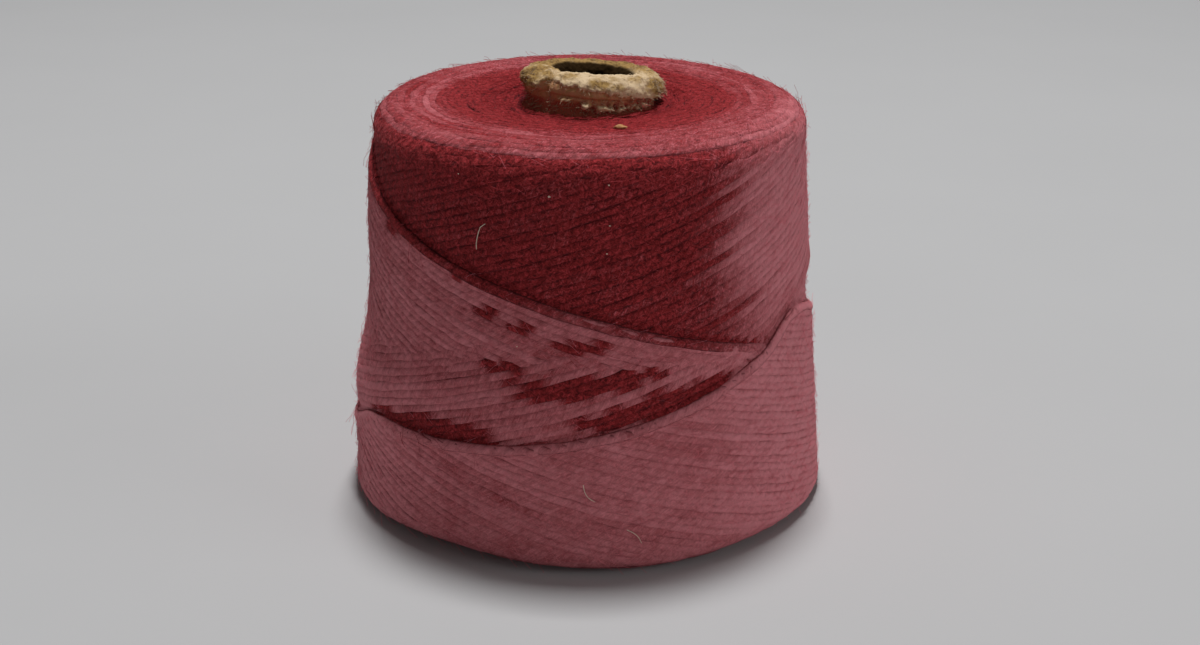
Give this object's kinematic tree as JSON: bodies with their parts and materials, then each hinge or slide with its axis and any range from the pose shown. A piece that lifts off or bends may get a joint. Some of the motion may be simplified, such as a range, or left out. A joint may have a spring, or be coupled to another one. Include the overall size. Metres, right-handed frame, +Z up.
{
  "type": "yarn cone",
  "caption": "Cone of soft crimson yarn, cross-wound in overlapping helical panels on a pulp-paper cone core with a rolled rim and an open bore.",
  "frame": {"origin": "middle of the flat base that the cone rests on", "axes": "+Z up along the cone's axis, towards the rolled rim; -Y is the side where the winding's three panels show"},
  "size_m": [0.1559, 0.1554, 0.1402],
  "materials": {
    "pulp_paper": "rough, fibrous and frayed at the rolled rim",
    "yarn": "soft matt spun yarn, slightly fuzzy"
  },
  "bodies": {
    "root": {"core": "pulp_paper", "wound_yarn": "yarn"}
  },
  "joints": []
}
